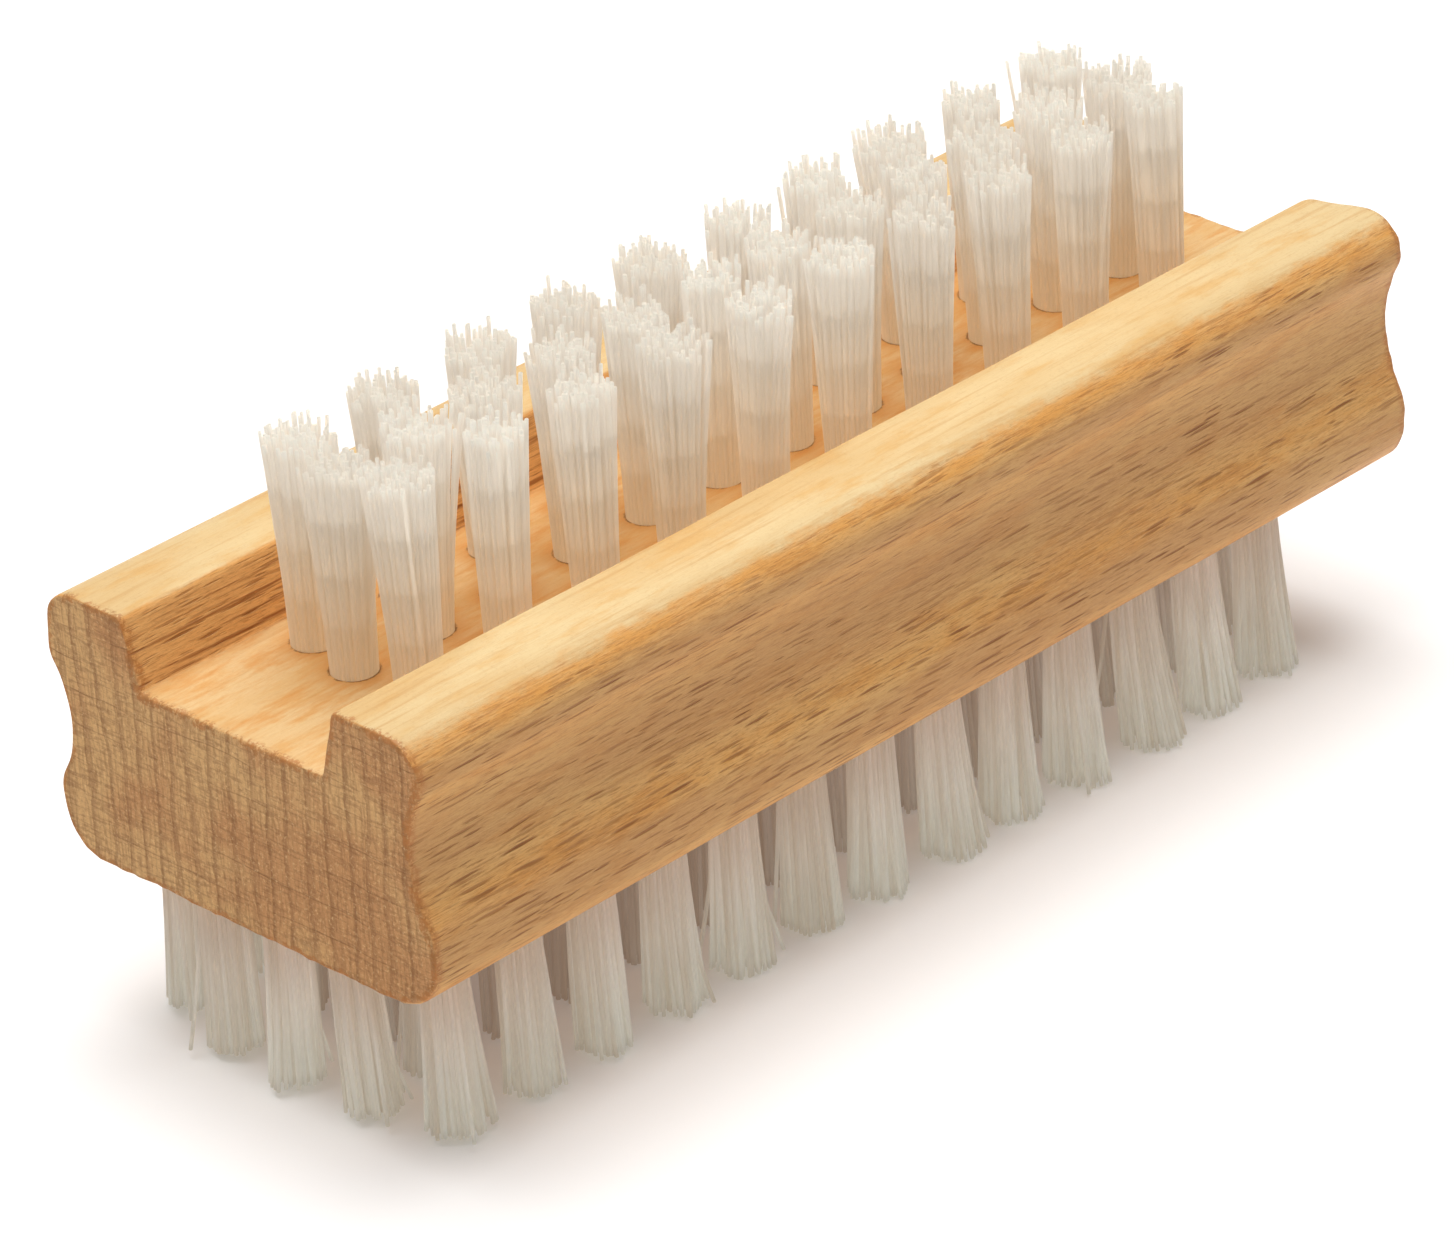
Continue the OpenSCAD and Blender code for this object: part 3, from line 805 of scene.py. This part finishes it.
def packed_circle():
    """Places of a tuft's filaments round its middle, as radius and angle: one in the middle, then rings
    of 6, 12, 18 and so on, a pitch apart, which is how round things pack in a round hole."""
    counts = np.r_[1, 6 * np.arange(1, FILAMENT_RINGS + 1)]
    ring = np.repeat(np.arange(FILAMENT_RINGS + 1), counts)
    first = np.repeat(np.cumsum(counts) - counts, counts)
    angle = (np.arange(len(ring)) - first) / np.repeat(counts, counts) * 2 * math.pi
    return ring * RING_PITCH, angle + ring * 0.7


def filament_mesh(name, places, surface_z, tip_z, flare, ragged, lean, smoothing, seed):
    """All the filaments of a row. In each tuft they fill the hole in rings, run straight up to its mouth
    and then fan out: at a share of its length, a filament's distance from the tuft's middle has grown by
    flare less 1 times that share to the fan power. Neighbours drift together, each strays a little of its
    own, a bundle at one side of some tufts leans away, and a few loose filaments stand out alone. A share
    of each normal is turned to point upwards, because light that passes from filament to filament evens
    out the two sides of each. The ragged numbers are the scatter of the tips, how far the tallest stands
    out, the share that stand out, and how much further the loose ones stray."""
    rough_scatter, tallest, tall_share, looseness = ragged
    rng = np.random.default_rng(seed)
    radius, angle = packed_circle()
    tufts = len(places)
    shape = (tufts, len(radius))
    angle = angle + rng.uniform(0, 2 * math.pi, (tufts, 1))
    outward = np.stack([np.cos(angle), np.sin(angle)], axis=-1)
    offset = radius[:, None] * outward
    foot = places[:, None] + offset + rng.normal(size=(*shape, 2)) * FOOT_SCATTER
    side = math.copysign(1, np.mean(tip_z) - surface_z)

    rough = rough_scatter * rng.normal(size=shape)
    tall = np.where(rng.random(shape) < tall_share, tallest * rng.uniform(0.3, 1, shape), 0)
    tip = np.reshape(tip_z, (-1, 1)) + side * np.minimum(rough + tall, tallest)

    fan_share = 1 + FAN_UNEVEN * rng.normal(size=(tufts, 1, 1))
    fan = (np.reshape(flare, (-1, 1, 1)) - 1) * offset * fan_share
    group = np.stack([
        waves(foot, (1.1, 1.7, 2.6), seed + 1),
        waves(foot, (1.2, 1.9, 2.8), seed + 2),
    ], axis=-1)
    stray = rng.normal(size=(*shape, 2)) * STRAY
    stray *= np.where(rng.random(shape) < LOOSE_SHARE, looseness, 1.0)[..., None]
    stray = np.clip(stray, -STRAY_LIMIT, STRAY_LIMIT)
    split_way = rng.uniform(0, 2 * math.pi, tufts)
    split = np.stack([np.cos(split_way), np.sin(split_way)], axis=-1)[:, None]
    split_share = np.clip((offset * split).sum(axis=-1) / radius.max() * 4 - 3.0, 0, 1)
    split_size = np.where(rng.random(tufts) < 0.5, rng.uniform(0.3, 0.9, tufts), 0)
    bundle = split * (split_share * split_size[:, None])[..., None]
    drift = lean[:, None] + stray + GROUP_DRIFT * group + bundle
    bow = rng.normal(size=(*shape, 2)) * BOW

    steps = np.array([-1, 0.0, 0.25, 0.5, 0.76, 1.0])
    rise = np.clip(steps, 0, 1)
    centre = (
        foot[:, :, None]
        + fan[:, :, None] * (rise**FAN_POWER)[:, None]
        + drift[:, :, None] * (rise**DRIFT_POWER)[:, None]
        + bow[:, :, None] * (rise * (1 - rise) * 4)[:, None]
    )
    height = surface_z + (tip - surface_z)[..., None] * steps
    height[..., 0] = surface_z - side * ROOT_DEPTH
    if side < 0:
        height = np.maximum(height, 0)
    rim_angle = np.arange(FILAMENT_SIDES) * 2 * math.pi / FILAMENT_SIDES
    rim_angle = rim_angle + rng.uniform(0, 1, (*shape, 1))
    thickness = FILAMENT_RADIUS * (1 + 0.03 * rng.normal(size=(*shape, 1)))
    rim = np.stack([np.cos(rim_angle), np.sin(rim_angle)], axis=-1) * thickness[..., None]
    points = np.zeros((*shape, len(steps), FILAMENT_SIDES, 3))
    points[..., :2] = centre[:, :, :, None] + rim[:, :, None]
    points[..., 2] = height[..., None]

    index = np.arange(points.size // 3).reshape(-1, len(steps), FILAMENT_SIDES)
    nxt = np.roll(index, -1, axis=2)
    walls = np.stack([index[:, :-1], nxt[:, :-1], nxt[:, 1:], index[:, 1:]], axis=-1).reshape(-1, 4)
    caps = np.vstack([index[:, 0, ::-1], index[:, -1]])
    if side < 0:
        walls, caps = walls[:, ::-1], caps[:, ::-1]
    mesh = new_mesh(name, points.reshape(-1, 3), [walls, caps])
    across = np.full_like(points, smoothing)
    across[..., :2] = (1 - smoothing) * rim[:, :, None] / FILAMENT_RADIUS
    across /= np.linalg.norm(across, axis=-1, keepdims=True)
    cap_normals = np.zeros((caps.size, 3))
    cap_normals[:, 2] = np.repeat([-side, side], caps.size // 2)
    normals = np.vstack([across.reshape(-1, 3)[walls.ravel()], cap_normals])
    mesh.normals_split_custom_set(normals)
    tone = np.zeros((*shape, len(steps), FILAMENT_SIDES, 3), np.float32)
    tone[..., 0] = rise[:, None]
    tone[..., 1] = rng.random(shape)[..., None, None]
    tone[..., 2] = rng.random((tufts, 1))[..., None, None]
    attribute = mesh.attributes.new("strand", "FLOAT_VECTOR", "POINT")
    attribute.data.foreach_set("vector", tone.ravel())
    return mesh


def upper_lean(places, rng):
    """The upper tufts lean a little towards the far end and the far side, besides a little at random."""
    return rng.normal(size=places.shape) * 0.22 + [0.3, 0.25]


def lower_lean(places, rng):
    """The lower tufts have been pressed on: they lean outwards at the long edges, more so towards the far
    end, and a little towards the near end, besides a little at random."""
    along = (places[:, 0] + LENGTH / 2) / LENGTH
    across = places[:, 1] / LOWER_EDGE_Y
    lean = rng.normal(size=places.shape) * 0.25
    lean[:, 1] += (0.2 + 1.5 * along) * across
    lean[:, 0] -= 0.3
    return lean


# Scatter of the tips, how far the tallest stand out, the share that do, and how loose filaments stray
UPPER_RAGGED = (0.33, 1.3, 0.10, 7.0)
LOWER_RAGGED = (0.06, 0.15, 0.08, 14.0)
UPPER_FLARE = 1.42
CROWN_BELOW_TOP = 0.4


def make_row(node, places, surface_z, tip_z, flare, ragged, lean, smoothing, finish, seed):
    """A row of tufts in place of the CAD's."""
    mesh = filament_mesh(node, places, surface_z, tip_z, flare, ragged, lean, smoothing, seed)
    piece = new_piece("bristles_" + node, mesh, finish)
    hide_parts(node)


def make_tufts():
    """The upper rows end a little under the highest tip. The lower tufts are worn shorter at the near end,
    where they have also spread less."""
    rng = np.random.default_rng(11)
    finish = filament("upper_nylon", UPPER_NYLON, 0.35, 0, 0.8, 0.08)
    crown = UPPER_TIP_Z - CROWN_BELOW_TOP
    for seed, (node, places) in enumerate(UPPER_ROWS.items()):
        lean = upper_lean(places, rng)
        make_row(
            node, places, FLOOR_Z, crown, UPPER_FLARE, UPPER_RAGGED, lean, 0.6, finish, 100 + 10 * seed
        )
    finish = filament("lower_nylon", LOWER_NYLON, 0.3, 0.6, 0.6, 0.34)
    for seed, (node, places) in enumerate(LOWER_ROWS.items()):
        along = (places[:, 0] + LENGTH / 2) / LENGTH
        lean = lower_lean(places, rng)
        worn = 0.25 + 0.5 * np.clip(1 - along / 0.35, 0, 1)
        spread = 1.2 + 0.3 * along
        make_row(
            node, places, UNDERSIDE_Z, worn, spread, LOWER_RAGGED, lean, 0.4, finish, 200 + 10 * seed
        )


make_tufts()


# The anchors keep their CAD shapes

anchor_finish = wire()
for node in ("upper_anchors", "lower_anchors"):
    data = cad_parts[node].data
    data.materials.clear()
    data.materials.append(anchor_finish)


# Floor, world and lights

FLOOR_REACH = 3000
FLOOR_GLOW_NEAR = 0.09
FLOOR_GLOW_FAR = 0.85
GLOW_FROM_METRES = 0.12
GLOW_FULL_METRES = 0.6
SKY_STRENGTH = 0.24
BRUSH_MIDDLE = (0, 0, 0.02)


def make_floor():
    """A flat white floor. Far from the brush it glows a little more, so that it stays pale up to its
    horizon, where the lamps no longer reach."""
    corners = FLOOR_REACH * np.array([[-1, -1, 0], [1, -1, 0], [1, 1, 0], [-1, 1, 0]])
    mesh = new_mesh("floor", corners, [np.array([[0, 1, 2, 3]])])
    floor = bpy.data.objects.new("floor", mesh)
    bpy.context.scene.collection.objects.link(floor)
    s = Shader("pale_floor")
    x, y, _ = s.split(s.place())
    away = s.math("SQRT", s.math("ADD", s.math("MULTIPLY", x, x), s.math("MULTIPLY", y, y)))
    glow = s.ramp(away, GLOW_FROM_METRES, GLOW_FULL_METRES, FLOOR_GLOW_NEAR, FLOOR_GLOW_FAR)
    finish = s.finish(
        Base_Color=colour(248, 247, 246), Roughness=0.9, Specular_IOR_Level=0.1,
        Emission_Color=colour(255, 255, 255), Emission_Strength=glow,
    )
    mesh.materials.append(finish)


def make_light(name, place, size, power):
    """A round white lamp aimed at the brush."""
    data = bpy.data.lights.new(name, "AREA")
    data.shape = "DISK"
    data.size = size
    data.energy = power
    light = bpy.data.objects.new(name, data)
    light.location = place
    aim = Vector(BRUSH_MIDDLE) - Vector(place)
    light.rotation_euler = aim.to_track_quat("-Z", "Y").to_euler()
    bpy.context.scene.collection.objects.link(light)


def make_world():
    """An even white sky, and colours shown as they are."""
    world = bpy.data.worlds.new("studio")
    world.use_nodes = True
    background = world.node_tree.nodes["Background"]
    background.inputs["Color"].default_value = (1, 1, 1, 1)
    background.inputs["Strength"].default_value = SKY_STRENGTH
    bpy.context.scene.world = world
    bpy.context.scene.view_settings.view_transform = "Standard"


make_floor()
make_world()
make_light("overhead", (0.0, 0.1, 1.2), 1.3, 10.2)
make_light("key", (0.1, 0.1, 1.0), 0.85, 5.6)
